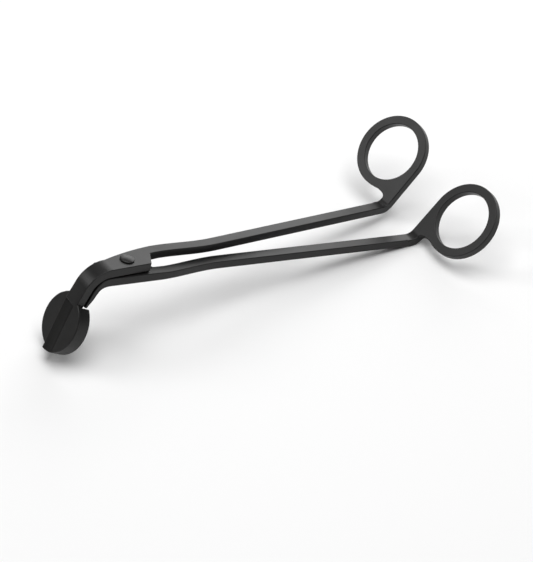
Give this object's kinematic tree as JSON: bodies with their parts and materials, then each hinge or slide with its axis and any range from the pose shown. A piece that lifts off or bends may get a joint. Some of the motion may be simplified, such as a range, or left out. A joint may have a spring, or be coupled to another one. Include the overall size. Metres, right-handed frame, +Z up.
{
  "type": "wick trimmer",
  "caption": "Long-handled candle wick trimmer: two crossed levers on a rivet, offset finger rings and a bent-down round cutting head that catches the trimmings.",
  "frame": {"origin": "middle of the closed trimmer's box, on the surface that it lies on", "axes": "+X along the trimmer towards the finger rings, +Y towards the upper lever's ring, +Z up, with the rims of the cutting head and the elbows downwards"},
  "size_m": [0.1824, 0.0744, 0.0333],
  "materials": {
    "lever_coating": "satin black coating on forged steel",
    "rivet_coating": "satin black coating, burnished on the dome",
    "washer_steel": "plain steel, lightly oiled"
  },
  "bodies": {
    "lower": {"lower_lever": "lever_coating", "pivot_rivet": "rivet_coating", "spacer_washer": "washer_steel"},
    "upper": {"upper_lever": "lever_coating"}
  },
  "joints": [
    {"name": "pivot", "type": "hinge", "parent": "lower", "child": "upper", "pos_m": [-0.05781, 0.00009, 0.02799], "axis": [0.1945, 0, 0.9809], "range_deg": [0, 28]}
  ]
}
